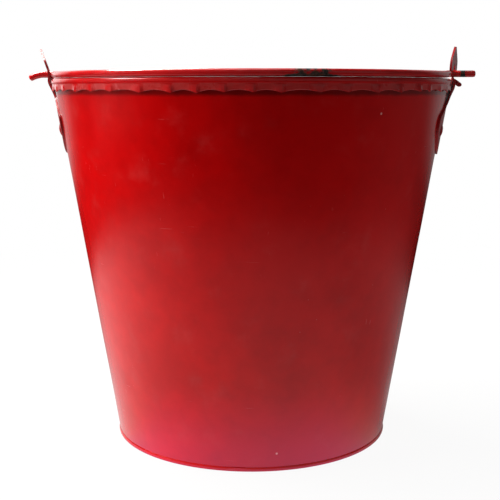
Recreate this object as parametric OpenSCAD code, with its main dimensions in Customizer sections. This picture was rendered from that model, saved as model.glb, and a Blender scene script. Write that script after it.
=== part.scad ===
// Fire bucket of painted sheet steel with a free-swinging wire bail.
// Origin at the centre of the underside, +Z up, the bail's hinge along X, the front at -Y.

/* [Bucket] */
// Height from the floor to the top of the rim
bucket_h = 274; // [230:1:320]
// Outside diameter of the wall where it meets the rim
mouth_d = 298; // [270:1:330]
// Outside diameter of the wall at the floor
foot_d = 210; // [190:1:230]
// Thickness of the wall sheet
wall_t = 0.8; // [0.6:0.1:1.4]
// Gap between sheets that lie on each other
fold_gap = 0.1; // [0.05:0.05:0.2]

/* [Side seam] */
// Width of the folded seam down the back
seam_w = 7; // [5:0.5:10]
// How far the seam stands out from the wall
seam_t = 1.5; // [1:0.1:2.5]
// Gap between each end of the seam and the piece beyond it
seam_end_gap = 1.2; // [0.5:0.1:3]

/* [Bottom pan] */
// Thickness of the pan sheet
pan_t = 0.9; // [0.7:0.1:1.4]
// Height of the edge turned up round the wall
pan_lip_h = 3.2; // [2.5:0.1:6]
// Height of the raised middle above the floor
pan_rise = 3; // [1.5:0.5:6]
// Width of the flat ring that the bucket stands on
pan_ring_w = 9; // [6:0.5:14]
// Width of the slope between the ring and the raised middle
pan_slope_w = 5; // [3:0.5:10]
// Rounding of the outer bottom edge
pan_edge_r = 0.8; // [0.4:0.1:0.8]

/* [Rim] */
// Diameter of the wire in the rim
wire_d = 3; // [2.5:0.1:4]
// Gap between the wire and the binding that grips it
wire_gap = 0.3; // [0.2:0.05:0.4]
// Thickness of the binding strip
bind_t = 0.7; // [0.5:0.1:0.9]
// Depth of the binding outside, from the top of the rim to its lowest points
band_h = 9.6; // [8:0.1:13]
// Depth of the binding inside, from the top of the rim
inner_leg_h = 8; // [6:0.5:12]
// How far the binding's lower edge stands off the wall
band_off = 0.8; // [0.2:0.1:1]
// Number of pleats crimped round the rim
crimp_count = 48; // [36:1:56]
// Height of the pleat at each crimp, above the corner of the two flat panels that meet there
pleat_h = 0.5; // [0.3:0.05:0.8]
// Width of a pleat at its lower end
pleat_w = 6; // [4:0.5:7]
// Rise of the scalloped edge between two pleats
scallop_h = 1.6; // [0.8:0.1:2]
// Width of the blunt point that the edge has below each pleat
point_w = 1.2; // [0.6:0.1:2]

/* [Ears] */
// Thickness of the ear plates
ear_t = 1.5; // [1.2:0.1:2]
// Width across the lower leaf
ear_low_w = 92; // [70:1:100]
// Distance from the top of the rim to the bottom of the ear
ear_drop = 56; // [50:1:70]
// Height of the ear's sloping bottom, below its straight sides
point_h = 18; // [16:1:20]
// Rounding of the ear's bottom
point_r = 34; // [20:1:36]
// Rounding where the straight sides end, at most
side_r = 17; // [10:1:18]
// Rounding of the shoulders
shoulder_r = 5; // [3:0.5:6]
// Height of the ear's tip above the rim
ear_rise = 26; // [24:1:32]
// Width across the upper leaf
leaf_w = 44; // [36:1:50]
// Height of the upper leaf's sloping top
leaf_slope_h = 11; // [9:0.5:12]
// Height of the upper leaf's straight sides
leaf_side_h = 7; // [7:0.5:9]
// Rounding where those sides start to slope inwards above
leaf_r = 6; // [4:0.5:6]
// Rounding at the low end of those sides
leaf_low_r = 5; // [3:0.5:5]
// Width across the blunt tip of the upper leaf
tip_w = 5; // [4:0.5:6]
// Rounding of the tip and of the corners above the neck
tip_r = 2; // [1:0.5:2]
// Width of the neck
neck_w = 27; // [22:1:32]
// Height of the fillets' corners above the line where the plate leaves the wall
fillet_rise = 7; // [6:0.5:8]
// Radius of the fillets between the neck and the shoulders
fillet_r = 9; // [6:0.5:9]
// Drop below the top of the rim at which the curved plate turns into the flat neck
neck_drop = 3; // [2.5:0.5:4]
// Height above the rim where the neck ends and the upper leaf starts
leaf_start = 3; // [2:0.5:3.5]
// Lean of the neck away from the vertical
flare = 22; // [20:1:26]
// Gap between the neck and the binding that it passes
neck_gap = 0.4; // [0.3:0.05:0.8]
// Drop of the shoulders below the line where the plate leaves the wall
shoulder_drop = 6; // [4:0.5:8]
// Lean of the left upper leaf
lean_left = 21; // [8:1:24]
// Lean of the right upper leaf
lean_right = 8.5; // [8:0.5:24]
// Twist of the left upper leaf about its neck
twist_left = -13; // [-15:1:15]
// Twist of the right upper leaf about its neck
twist_right = 3; // [-15:1:15]
// Length of the tongue below the right eye
tongue_l = 8; // [6:0.5:10]
// Width of the tongue
tongue_w = 6; // [4:0.5:8]
// Dip of the tongue below the horizontal
tongue_dip = 35; // [25:1:45]

/* [Rivets] */
// Shank diameter
rivet_d = 4; // [3:0.5:5]
// Head diameter
rivet_head_d = 9; // [7:0.5:10]
// Head height
rivet_head_h = 2.2; // [1.5:0.1:3]
// Diameter of the set tail inside
rivet_tail_d = 7.2; // [6:0.1:8]
// Height of the set tail
rivet_tail_h = 1.1; // [0.8:0.1:1.6]
// Gap round a shank in its hole
rivet_gap = 0.1; // [0.05:0.05:0.3]
// Distance of the two wing rivets from the sides of the ear
rivet_inset = 14; // [10:1:16]
// Drop of the wing rivets below the shoulders
rivet_drop = 10; // [7:0.5:12]
// Height of the middle rivet above the bottom of the ear
rivet_rise = 10; // [8:0.5:12]

/* [Bail] */
// Diameter of the bail rod
rod_d = 5; // [4:0.5:6]
// Diameter of the eyes
eye_d = 10; // [9:0.5:12]
// Height of the hinge above the top of the rim
hinge_rise = 6; // [5.5:0.5:7]
// Radius of the bend beside each ear
bail_bend_r = 8; // [7:0.5:10]
// Reach of each rod end past the bend
rod_end_l = 15.5; // [13:0.5:20]
// Radius that the left rod end is bent down to
end_bend_r = 32; // [28:1:60]
// Straight length of the left rod end before it turns down
end_straight = 6; // [5:0.5:8]
// Gap between the bail and the rim where it rests
rest_gap = 0.4; // [0.3:0.1:1]

/* [Hidden] */
$fn = 96;
round_fn = 180;

taper = atan((mouth_d - foot_d) / 2 / bucket_h);
wall_across = wall_t / cos(taper);
wall_foot = pan_t + fold_gap;
bead_r = wire_d / 2 + wire_gap + bind_t;
wire_z = bucket_h - bead_r;
wall_top = wire_z - wire_d / 2 - wire_gap;
wire_at = wall_r(wall_top) - wall_across / 2;
band_low = bucket_h - band_h;
crimp_pitch = 360 / crimp_count;
leg_across = (fold_gap + bind_t) / cos(taper);
panel_half = PI * wall_r(band_low) / crimp_count;
panel_dip = panel_half * panel_half / 2 / wall_r(band_low);
panel_out = 2 * fold_gap + bind_t;
pleat_out = panel_out + band_off + panel_dip + pleat_h;

kink_z = band_low - (pleat_out + neck_gap - fold_gap) / (tan(flare) - tan(taper));
kink_drop = bucket_h - kink_z;
neck_z = bucket_h - neck_drop;
leaf_z = bucket_h + leaf_start;
ear_in = wall_r(kink_z) + fold_gap / cos(taper);
hinge_z = bucket_h + hinge_rise;
rod_r = rod_d / 2;
rod_join = 0.05;
bail_r = wire_at;
rest_dip = asin((hinge_rise - rod_r - rest_gap) / bail_r);
bend_at = sqrt(pow(bail_r + bail_bend_r, 2) - pow(bail_bend_r, 2));
bend_turn = acos(bail_bend_r / (bail_r + bail_bend_r));

// Outside radius of the wall at height z
function wall_r(z) = foot_d / 2 + z * tan(taper);

// Mid-plane radius of the ear's flared neck at height z
function neck_r(z) = ear_in + (z - kink_z) * tan(flare) + ear_t / 2 / cos(flare);

// Points of a corner rounded to radius r between the directions to a and to b
function corner(p, a, b, r, steps = 7) =
    let (u = (a - p) / norm(a - p), v = (b - p) / norm(b - p))
    let (half = acos(u * v) / 2, mid = (u + v) / norm(u + v))
    let (centre = p + mid * r / sin(half))
    let (from = p + u * r / tan(half) - centre, to = p + v * r / tan(half) - centre)
    let (start = atan2(from[1], from[0]), turn = atan2(to[1], to[0]) - start)
    let (sweep = turn > 180 ? turn - 360 : turn < -180 ? turn + 360 : turn)
    [for (i = [0:steps]) centre + r * [cos(start + sweep * i / steps), sin(start + sweep * i / steps)]];

// Outline through [x, y, radius] corners
function rounded(pts) = [for (i = [0:len(pts) - 1])
    let (n = len(pts), p = pts[i], a = pts[(i + n - 1) % n], b = pts[(i + 1) % n])
    each corner([p[0], p[1]], [a[0], a[1]], [b[0], b[1]], p[2])];

// Half of an outline mirrored to a whole one
function both_sides(pts) = concat(pts, [for (i = [len(pts) - 1:-1:0]) [-pts[i][0], pts[i][1], pts[i][2]]]);

// Places children on the wall's outer face: +X points out of it, +Z up along it
module on_wall(turn, z) {
    rotate([0, 0, turn]) translate([wall_r(z), 0, z]) rotate([0, taper, 0]) children();
}

// Places children at each rivet of an ear, +Z pointing out along the rivet
module at_rivets() {
    wing_z = kink_z - shoulder_drop - rivet_drop;
    wing = asin((ear_low_w / 2 - rivet_inset) / wall_r(wing_z));
    for (spot = [[-wing, wing_z], [wing, wing_z], [0, bucket_h - ear_drop + rivet_rise]])
        on_wall(spot[0], spot[1]) rotate([0, 90, 0]) children();
}

module rivet_holes() {
    reach = rivet_head_d;
    at_rivets() cylinder(h = 2 * reach, d = rivet_d + 2 * rivet_gap, center = true, $fn = 32);
}

module seam() {
    seam_low = pan_lip_h + seam_end_gap;
    seam_high = band_low - seam_end_gap;
    bite = wall_t / 2;
    on_wall(90, seam_low) linear_extrude(height = (seam_high - seam_low) / cos(taper)) {
        translate([-bite, -seam_w / 2 + seam_t / 2]) square([bite + seam_t, seam_w - seam_t]);
        translate([seam_t / 2, seam_w / 2 - seam_t / 2]) circle(d = seam_t, $fn = 24);
        translate([seam_t / 2, -seam_w / 2 + seam_t / 2]) circle(d = seam_t, $fn = 24);
    }
}

module wall() {
    color("firebrick") difference() {
        union() {
            rotate_extrude($fn = round_fn) polygon([
                [wall_r(wall_foot) - wall_across, wall_foot],
                [wall_r(wall_foot), wall_foot],
                [wall_r(wall_top), wall_top],
                [wall_r(wall_top) - wall_across, wall_top]]);
            seam();
        }
        rivet_holes();
        mirror([1, 0, 0]) rivet_holes();
    }
}

module bottom_pan() {
    lip_in = wall_r(pan_t) + fold_gap / cos(taper);
    lip_out = lip_in + pan_t;
    ring_in = lip_out - pan_ring_w;
    rise_in = ring_in - pan_slope_w;
    lean = tan(taper) * (pan_lip_h - pan_t);
    color("firebrick") rotate_extrude($fn = round_fn) difference() {
        union() {
            polygon([
                [0, pan_rise], [rise_in, pan_rise], [ring_in, 0], [lip_out - pan_edge_r, 0],
                [lip_out - pan_edge_r, pan_edge_r], [lip_out, pan_edge_r],
                [lip_out + lean, pan_lip_h], [lip_in + lean, pan_lip_h], [lip_in, pan_t],
                [ring_in, pan_t], [rise_in, pan_rise + pan_t], [0, pan_rise + pan_t]]);
            translate([lip_out - pan_edge_r, pan_edge_r]) circle(r = pan_edge_r, $fn = 32);
        }
        translate([lip_in - pan_edge_r, pan_t]) square([pan_edge_r, pan_edge_r]);
    }
}

module rim_wire() {
    color("dimgray") rotate_extrude($fn = round_fn)
        translate([wire_at, wire_z]) circle(d = wire_d, $fn = 32);
}

// The strip outside the wall, flat between pleats. Its back is cut with the rest of the binding.
module band() {
    collar_z = wire_z - bead_r / 3;
    low_r = (wall_r(band_low) + panel_out + band_off) / cos(180 / crimp_count);
    high_r = (wall_r(collar_z) + panel_out) / cos(180 / crimp_count);
    translate([0, 0, band_low]) difference() {
        linear_extrude(height = collar_z - band_low, scale = high_r / low_r)
            polygon([for (i = [0:crimp_count - 1]) low_r * [cos(i * crimp_pitch), sin(i * crimp_pitch)]]);
        cylinder(h = 3 * band_h, r = wall_r(band_low) - wall_t, center = true);
    }
}

// A pleat that the crimping leaves, running out into the band above
module pleat() {
    crest_r = (pleat_w * pleat_w / 4 + pleat_h * pleat_h) / 2 / pleat_h;
    pleat_l = (wire_z - band_low) / cos(taper);
    sink = atan((pleat_h + band_off) / pleat_l);
    translate([pleat_out, 0, 0]) rotate([0, -sink, 0]) intersection() {
        translate([-crest_r, 0, 0]) cylinder(h = pleat_l, r = crest_r);
        cube([2 * (pleat_h + panel_dip), pleat_w, 2 * pleat_l], center = true);
    }
}

// What the strip's lower edge leaves open between two pleats
module scallop() {
    gap = panel_half - point_w / 2;
    arch_r = (gap * gap + scallop_h * scallop_h) / 2 / scallop_h;
    translate([-wall_t / 2, 0, scallop_h - arch_r]) rotate([0, 90, 0])
        cylinder(h = wall_t + 2 * pleat_out, r = arch_r);
}

module rim_binding() {
    collar_z = wire_z - bead_r;
    leg_z = bucket_h - inner_leg_h;
    color("firebrick") difference() {
        union() {
            rotate_extrude($fn = round_fn) {
                translate([wire_at, wire_z]) circle(r = bead_r, $fn = 48);
                polygon([
                    [wall_r(collar_z) - wall_across / 2, collar_z],
                    [wall_r(collar_z) + leg_across, collar_z],
                    [wall_r(wire_z) + leg_across, wire_z],
                    [wall_r(wire_z) - wall_across / 2, wire_z]]);
                polygon([
                    [wall_r(leg_z) - wall_across - leg_across, leg_z],
                    [wall_r(leg_z) - wall_across / 2, leg_z],
                    [wall_r(wire_z) - wall_across / 2, wire_z],
                    [wall_r(wire_z) - wall_across - leg_across, wire_z]]);
            }
            band();
            for (i = [0:crimp_count - 1]) on_wall(i * crimp_pitch, band_low) pleat();
        }
        for (i = [0:crimp_count - 1]) on_wall((i + 0.5) * crimp_pitch, band_low) scallop();
        rotate_extrude($fn = round_fn) {
            slot = fold_gap / cos(taper);
            low = leg_z - band_h;
            spread = band_off * (collar_z - low) / (collar_z - band_low);
            translate([wire_at, wire_z]) circle(r = wire_d / 2 + wire_gap, $fn = 48);
            polygon([
                [wall_r(low) - wall_across - slot, low],
                [wall_r(low) + slot + spread, low],
                [wall_r(collar_z) + slot, collar_z],
                [wall_r(wire_z) + slot, wire_z],
                [wall_r(wire_z) - wall_across - slot, wire_z]]);
        }
    }
}

// Lower leaf and neck, seen from the side: Y across, Z up from the top of the rim
module lower_outline() {
    half_w = ear_low_w / 2;
    shoulder = kink_drop + shoulder_drop;
    side_low = max(ear_drop - point_h, shoulder + 2 * shoulder_r);
    low_r = min(side_r, 2 * (side_low - shoulder - shoulder_r));
    over = ear_t / 2;
    polygon(rounded(both_sides([
        [neck_w / 2, over, over / 4],
        [neck_w / 2, fillet_rise - kink_drop, fillet_r],
        [half_w, -shoulder, shoulder_r],
        [half_w, -side_low, low_r],
        [half_w / 2, -ear_drop, point_r]])));
}

// Upper leaf, seen square on: Z up from its bend line
module upper_outline() {
    half_w = leaf_w / 2;
    tip = ear_rise - leaf_start;
    side_top = tip - leaf_slope_h;
    under = ear_t / 4;
    polygon(rounded(both_sides([
        [tip_w / 2, tip, tip_r],
        [half_w, side_top, leaf_r],
        [half_w, side_top - leaf_side_h, leaf_low_r],
        [neck_w / 2, -under, tip_r]])));
}

// An ear on the right-hand side
module ear(lean, twist, tongued) {
    across_wall = ear_t / cos(taper);
    across_flare = ear_t / cos(flare);
    low_z = bucket_h - ear_drop - ear_t / 2;
    low_in = wall_r(low_z) + fold_gap / cos(taper);
    neck_l = (leaf_z - neck_z) / cos(flare);
    lap = ear_t / 10;
    start = [neck_r(neck_z), 0, neck_z];
    difference() {
        union() {
            intersection() {
                rotate_extrude($fn = round_fn) polygon([
                    [low_in, low_z], [low_in + across_wall, low_z],
                    [ear_in + across_flare, kink_z],
                    [neck_r(neck_z) + across_flare / 2, neck_z],
                    [neck_r(neck_z) - across_flare / 2, neck_z],
                    [ear_in, kink_z]]);
                translate([0, 0, bucket_h]) rotate([90, 0, 90])
                    linear_extrude(height = mouth_d) lower_outline();
            }
            translate(start) rotate([0, flare, 0]) {
                translate([-ear_t, -neck_w / 2 - lap, -ear_t])
                    cube([1.5 * ear_t + lap, neck_w + 2 * lap, 2 * ear_t]);
                linear_extrude(height = neck_l, twist = -twist, slices = 6, $fn = 12)
                    square([ear_t, neck_w], center = true);
                translate([0, 0, neck_l]) rotate([0, 0, twist]) {
                    rotate([90, 0, 0]) cylinder(h = neck_w - lap, d = ear_t + lap, center = true, $fn = 24);
                    rotate([0, lean - flare, 0]) rotate([90, 0, 90])
                        translate([0, 0, -ear_t / 2]) linear_extrude(height = ear_t) upper_outline();
                }
            }
            if (tongued) tongue();
        }
        translate([0, 0, hinge_z]) rotate([0, 90, 0]) cylinder(h = mouth_d, d = eye_d);
        rivet_holes();
    }
}

// The tongue bent out below the eye and folded double
module tongue() {
    thick = 2 * ear_t;
    root_z = hinge_z - eye_d / 2 - thick / 2;
    translate([neck_r(root_z), 0, root_z]) rotate([0, 90 + tongue_dip, 0]) {
        translate([-thick / 2, -tongue_w / 2, 0]) cube([thick, tongue_w, tongue_l - thick / 2]);
        translate([0, 0, tongue_l - thick / 2]) rotate([90, 0, 0])
            cylinder(h = tongue_w, d = thick, center = true, $fn = 32);
    }
}

module ear_left() {
    color("darkred") mirror([1, 0, 0]) ear(lean_left, twist_left, false);
}

module ear_right() {
    color("darkred") ear(lean_right, twist_right, true);
}

// Three rivets of the right-hand ear
module rivets() {
    outer_face = fold_gap + ear_t;
    dome_r = (pow(rivet_head_d / 2, 2) + pow(rivet_head_h, 2)) / 2 / rivet_head_h;
    seat = fold_gap;
    at_rivets() {
        translate([0, 0, -wall_t - seat - rivet_tail_h / 2])
            cylinder(h = outer_face + wall_t + 2 * seat + rivet_tail_h / 2, d = rivet_d, $fn = 32);
        translate([0, 0, outer_face + seat]) intersection() {
            translate([0, 0, rivet_head_h - dome_r]) sphere(r = dome_r, $fn = 48);
            cylinder(h = rivet_head_h, d = rivet_head_d, $fn = 48);
        }
        translate([0, 0, -wall_t - seat - rivet_tail_h])
            cylinder(h = rivet_tail_h, d = rivet_tail_d, $fn = 32);
    }
}

module rivets_left() {
    color("maroon") mirror([1, 0, 0]) rivets();
}

module rivets_right() {
    color("maroon") rivets();
}

// A stretch of the rod turned to radius r, from one angle to another, each end drawn back a hair
module rod_arc(r, from, to) {
    back = rod_join / r * 180 / PI;
    rotate([0, 0, from + back]) rotate_extrude(angle = to - from - 2 * back, $fn = round_fn)
        translate([r, 0]) circle(d = rod_d, $fn = 32);
}

// A straight stretch of the rod towards +X, each end drawn back a hair
module rod_straight(l) {
    translate([rod_join, 0, 0]) rotate([0, 90, 0]) cylinder(h = l - 2 * rod_join, d = rod_d, $fn = 32);
}

// The ball that closes the rod where two stretches meet
module rod_ball() {
    rotate([0, 90, 0]) sphere(d = rod_d + rod_join / 2, $fn = 32);
}

// The bend beside the right ear, in the bail's own plane, with its two ends closed
module bail_bend() {
    translate([bend_at, -bail_bend_r, 0]) {
        rod_arc(bail_bend_r, 90, 90 + bend_turn);
        rotate([0, 0, 90 + bend_turn]) translate([bail_bend_r, 0, 0]) rotate([0, 0, 90]) rod_ball();
    }
    translate([bend_at, 0, 0]) rod_ball();
}

module bail() {
    arc_start = 90 - bend_turn;
    end_turn = asin((rod_end_l - end_straight) / end_bend_r);
    color("firebrick") translate([0, 0, hinge_z]) rotate([rest_dip, 0, 0]) {
        rod_arc(bail_r, arc_start - 180, -arc_start);
        bail_bend();
        mirror([1, 0, 0]) bail_bend();
        translate([bend_at, 0, 0]) rod_straight(rod_end_l);
        translate([bend_at + rod_end_l, 0, 0]) rod_ball();
        mirror([1, 0, 0]) translate([bend_at, 0, 0]) {
            rod_straight(end_straight);
            translate([end_straight, 0, 0]) rod_ball();
            translate([end_straight, 0, -end_bend_r]) {
                rotate([90, 0, 0]) rod_arc(end_bend_r, 90 - end_turn, 90);
                rotate([0, end_turn, 0]) translate([0, 0, end_bend_r]) rod_ball();
            }
        }
    }
}

wall();
bottom_pan();
rim_wire();
rim_binding();
ear_left();
ear_right();
rivets_left();
rivets_right();
bail();
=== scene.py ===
import bpy, bmesh, math, random
from mathutils import Vector, Matrix, noise


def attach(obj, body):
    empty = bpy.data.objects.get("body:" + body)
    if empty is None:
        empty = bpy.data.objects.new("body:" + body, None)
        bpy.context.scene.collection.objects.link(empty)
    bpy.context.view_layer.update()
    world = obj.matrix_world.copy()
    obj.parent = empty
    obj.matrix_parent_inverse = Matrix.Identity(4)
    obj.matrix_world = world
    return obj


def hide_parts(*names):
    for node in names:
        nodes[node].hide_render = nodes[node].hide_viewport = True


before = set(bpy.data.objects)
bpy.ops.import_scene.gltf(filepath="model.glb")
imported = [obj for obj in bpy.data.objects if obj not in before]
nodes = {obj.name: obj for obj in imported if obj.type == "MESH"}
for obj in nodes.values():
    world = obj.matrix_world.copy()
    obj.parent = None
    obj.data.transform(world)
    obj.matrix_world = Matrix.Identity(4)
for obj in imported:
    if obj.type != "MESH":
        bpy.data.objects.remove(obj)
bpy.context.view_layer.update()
mm = 0.001
print("frame loaded:", ", ".join(sorted(nodes)))

# sizes that several pieces share, in millimetres, as in the part's source
bucket = {
    "height": 274, "mouth": 149, "foot": 105, "sheet": 0.8, "gap": 0.1,
    "wire": 1.5, "wireGap": 0.3, "binding": 0.7, "band": 9.6, "innerLeg": 8,
    "hingeUp": 6, "rod": 2.5, "restGap": 0.4,
}
slope = (bucket["mouth"] - bucket["foot"]) / bucket["height"]
taper = math.atan(slope)
sheetAcross = bucket["sheet"] / math.cos(taper)
beadR = bucket["wire"] + bucket["wireGap"] + bucket["binding"]
wireZ = bucket["height"] - beadR
wallTop = wireZ - bucket["wire"] - bucket["wireGap"]
bandLow = bucket["height"] - bucket["band"]
hingeZ = bucket["height"] + bucket["hingeUp"]


def wallR(z):
    return bucket["foot"] + z * slope


wireAt = wallR(wallTop) - sheetAcross / 2

# the rim's pleats, and the height where the ears leave the wall to pass outside them
crimp = {"count": 48, "standOff": 0.8, "pleat": 0.5, "scallop": 1.6, "neckGap": 0.4, "flare": 22}
halfPanel = math.pi * wallR(bandLow) / crimp["count"]
pleatOut = (2 * bucket["gap"] + bucket["binding"] + crimp["standOff"] + crimp["pleat"]
            + halfPanel ** 2 / 2 / wallR(bandLow))
flareSlope = math.tan(math.radians(crimp["flare"]))
kinkZ = bandLow - (pleatOut + crimp["neckGap"] - bucket["gap"]) / (flareSlope - slope)


def smooth(a, b, x):  # 0 before a, 1 after b
    t = min(max((x - a) / (b - a), 0), 1)
    return t * t * (3 - 2 * t)


seedStep = (7.3, -3.1, 1.7)


def ripple(x, y, z, depth, size, seed):  # soft noise, about -depth to depth; size in millimetres
    return depth * noise.noise(Vector([at / size + seed * step for at, step in zip((x, y, z), seedStep)]))


def evenly(start, end, steps):
    return [start + (end - start) * k / steps for k in range(steps + 1)]


def polar(r, a):
    return r * math.cos(a), r * math.sin(a)


# shader helpers


class Wire:
    # one socket of a shader; + - * / and ** on it add Math nodes
    def __init__(self, finish, socket):
        self.finish, self.socket = finish, socket

    def maths(self, operation, *others):
        values = {0: self}
        for i, other in enumerate(others):
            values[i + 1] = other
        return self.finish.node("ShaderNodeMath", {"operation": operation}, values)

    def reflected(self, operation, other):
        return self.finish.node("ShaderNodeMath", {"operation": operation}, {0: other, 1: self})

    def __add__(self, other):
        return self.maths("ADD", other)

    def __sub__(self, other):
        return self.maths("SUBTRACT", other)

    def __mul__(self, other):
        return self.maths("MULTIPLY", other)

    def __truediv__(self, other):
        return self.maths("DIVIDE", other)

    def __pow__(self, other):
        return self.maths("POWER", other)

    def __rsub__(self, other):
        return self.reflected("SUBTRACT", other)

    __radd__, __rmul__ = __add__, __mul__

    def clamped(self):
        return self.maths("MINIMUM", 1.0).maths("MAXIMUM", 0.0)

    def step(self, low, high):  # 0 below low, 1 above high, smooth between
        return self.finish.node("ShaderNodeMapRange", {"interpolation_type": "SMOOTHSTEP"},
                                {"Value": self, "From Min": low, "From Max": high})


class Finish:
    # a material, and the one way its nodes are made
    def __init__(self, name, shader="ShaderNodeBsdfPrincipled", owner=None):
        self.material = owner or bpy.data.materials.new(name)
        self.material.use_nodes = True
        self.tree = self.material.node_tree
        self.tree.nodes.clear()
        self.place = None
        self.shader = self.tree.nodes.new(shader)
        kind = "ShaderNodeOutputWorld" if owner else "ShaderNodeOutputMaterial"
        self.end = self.tree.nodes.new(kind)
        self.tree.links.new(self.shader.outputs[0], self.end.inputs["Surface"])

    def node(self, kind, settings=None, values=None, out=0):
        made = self.tree.nodes.new(kind)
        for key, value in (settings or {}).items():
            if key == "stops":
                self.ramp(made, value)
            else:
                setattr(made, key, value)
        for key, value in (values or {}).items():
            self.fill(made.inputs[key], value)
        return Wire(self, made.outputs[out])

    def ramp(self, made, stops):
        band = made.color_ramp
        while len(band.elements) < len(stops):
            band.elements.new(0.5)
        for element, (at, colour) in zip(band.elements, stops):
            element.position, element.color = at, (*colour, 1)

    def ramped(self, stops, at):  # a number that follows (position, value) stops; values up to 2
        halved = [(place, (value / 2,) * 3) for place, value in stops]
        band = self.node("ShaderNodeValToRGB", {"stops": halved}, {0: at})
        return self.split(band, "Color")[0] * 2.0

    def split(self, value, kind="XYZ"):  # its three numbers
        first = self.node("ShaderNodeSeparate" + kind, {}, {0: value})
        return [Wire(self, output) for output in first.socket.node.outputs]

    def ray(self, kind):  # 1 for what this kind of ray sees
        return self.node("ShaderNodeLightPath", out={"camera": 0, "glossy": 3}[kind])

    def fill(self, socket, value):
        if isinstance(value, Wire):
            self.tree.links.new(value.socket, socket)
        elif isinstance(value, tuple) and len(value) == 3 and socket.type == "RGBA":
            socket.default_value = (*value, 1)
        else:
            socket.default_value = value

    def set(self, **values):
        for key, value in values.items():
            name = {"baseColor": "Base Color", "coat": "Coat Weight", "coatRoughness": "Coat Roughness",
                    "specular": "Specular IOR Level"}.get(key, key.capitalize())
            self.fill(self.shader.inputs[name], value)

    def where(self):  # the point, in its object's own coordinates
        if self.place is None:
            self.place = self.node("ShaderNodeTexCoord", out=3)
        return self.place

    def stretched(self, x, y, z):
        return self.node("ShaderNodeMapping", {}, {"Vector": self.where(), "Scale": (x, y, z)})

    def noise(self, size, detail, rough, seed, at=None):  # size in metres
        return self.node("ShaderNodeTexNoise", {"noise_dimensions": "4D"},
                         {"Vector": at or self.where(), "W": seed, "Scale": 1 / size,
                          "Detail": detail, "Roughness": rough})

    def cells(self, size, seed):
        return self.node("ShaderNodeTexVoronoi", {"voronoi_dimensions": "4D"},
                         {"Vector": self.where(), "W": seed, "Scale": 1 / size})

    def painted(self, name):  # a number stored on the mesh
        return self.node("ShaderNodeAttribute", {"attribute_name": name}, out=2)

    def mix(self, share, a, b):
        return self.node("ShaderNodeMix", {"data_type": "RGBA"}, {0: share, 6: a, 7: b}, out=2)

    def bump(self, height, strength, distance, below=None):
        values = {"Height": height, "Strength": strength, "Distance": distance}
        if below:
            values["Normal"] = below
        return self.node("ShaderNodeBump", {}, values)

    def upDown(self):  # height above the floor
        return self.split(self.where())[2]


# finishes

enamels = {
    "red_enamel": {"colour": (0.60, 0.0007, 0.0012), "deep": (0.43, 0.0005, 0.0010), "gloss": 0.17,
                   "peel": 0.10, "wear": 0.0, "dust": 0.25, "scratches": 0.7, "paintedShade": 0.7, "coat": 0.4,
                   # two pale dots painted on the wall as glints
                   "paintedGlints": ((-77.4, 13.6), (-51.4, 250.6))},  # degrees round the wall, height
    "rim_enamel": {"colour": (0.56, 0.0015, 0.002), "deep": (0.36, 0.001, 0.002), "gloss": 0.20,
                   "peel": 0.16, "wear": 0.40, "dust": 0.3, "scratches": 0.6, "paintedShade": 0.0, "coat": 0.4},
    "ear_enamel": {"colour": (0.40, 0.010, 0.012), "deep": (0.22, 0.008, 0.010), "gloss": 0.34,
                   "peel": 0.22, "wear": 0.5, "dust": 0.2, "scratches": 0.8, "paintedShade": 0.0, "coat": 0.1},
    "rivet_enamel": {"colour": (0.42, 0.006, 0.008), "deep": (0.22, 0.004, 0.005), "gloss": 0.3,
                     "peel": 0.2, "wear": 0.6, "dust": 0.4, "scratches": 0.4, "paintedShade": 0.0, "coat": 0.2},
    "bail_enamel": {"colour": (0.62, 0.002, 0.004), "deep": (0.36, 0.002, 0.003), "gloss": 0.18,
                    "peel": 0.14, "wear": 0.95, "dust": 0.15, "scratches": 0.4, "paintedShade": 0.0, "coat": 0.5},
}
tones = {
    "bright": (0.12, 0.10, 0.09), "dark": (0.045, 0.038, 0.035), "rust": (0.17, 0.042, 0.012),
    # among these, the near-black red is the painted shade under the rim and the pale pink is the colour of
    # two painted glints
    "rustDeep": (0.055, 0.016, 0.008), "dust": (0.55, 0.50, 0.47), "paintedShade": (0.06, 0.003, 0.003),
    "drop": (0.95, 0.45, 0.42), "scratch": (0.75, 0.12, 0.12),
}
# the enamels' patterns: size in metres, detail, roughness, seed
grain = {
    "cloud": (0.09, 2.0, 0.5, 1.3), "mottle": (0.012, 3.0, 0.6, 4.1), "patches": (0.0032, 4.0, 0.62, 7.7),
    "fade": (0.008, 3.0, 0.6, 2.2), "steel": (0.0016, 3.0, 0.6, 5.0), "rust": (0.004, 4.0, 0.65, 9.4),
    "rustTone": (0.0011, 2.0, 0.6, 3.3), "along": (0.0010, 2.0, 0.5, 0.4),
    "across": (0.0011, 2.0, 0.5, 6.0), "scratched": (0.04, 2.0, 0.5, 8.8),
    "speckled": (0.03, 2.0, 0.5, 6.6), "dust": (0.022, 4.0, 0.6, 3.9), "gloss": (0.02, 3.0, 0.5, 2.7),
    "peelFine": (0.0022, 2.0, 0.5, 1.1), "peel": (0.0065, 2.0, 0.5, 1.7),
}
# the values between which a pattern goes from none to full
spread = {
    "deep": (0.38, 0.78), "chip": (1.02, 1.08), "fade": (0.65, 1.25), "steel": (0.35, 0.7),
    "rust": (0.46, 0.6), "rustTone": (0.3, 0.7), "shadeUnderRim": (0.2618, 0.2646), "drop": (0.0005, 0.0010),
    "along": (0.70, 0.74), "across": (0.71, 0.75), "scratched": (0.5, 0.66), "speck": (0.035, 0.075),
    "speckled": (0.5, 0.62), "dust": (0.52, 0.8),
}
# how much each one counts
weight = {
    "cloud": 0.75, "mottle": 0.35, "patches": 0.9, "fade": 0.7, "faded": 0.45, "paintedShadeEdge": 0.0014,
    "drop": 0.75, "scratch": 0.25, "dust": 0.10, "speck": 0.5, "dull": 0.02, "flatSheenPatches": 0.07,
    "peelFine": 0.6, "chipDeep": 1.6,
}
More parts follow.
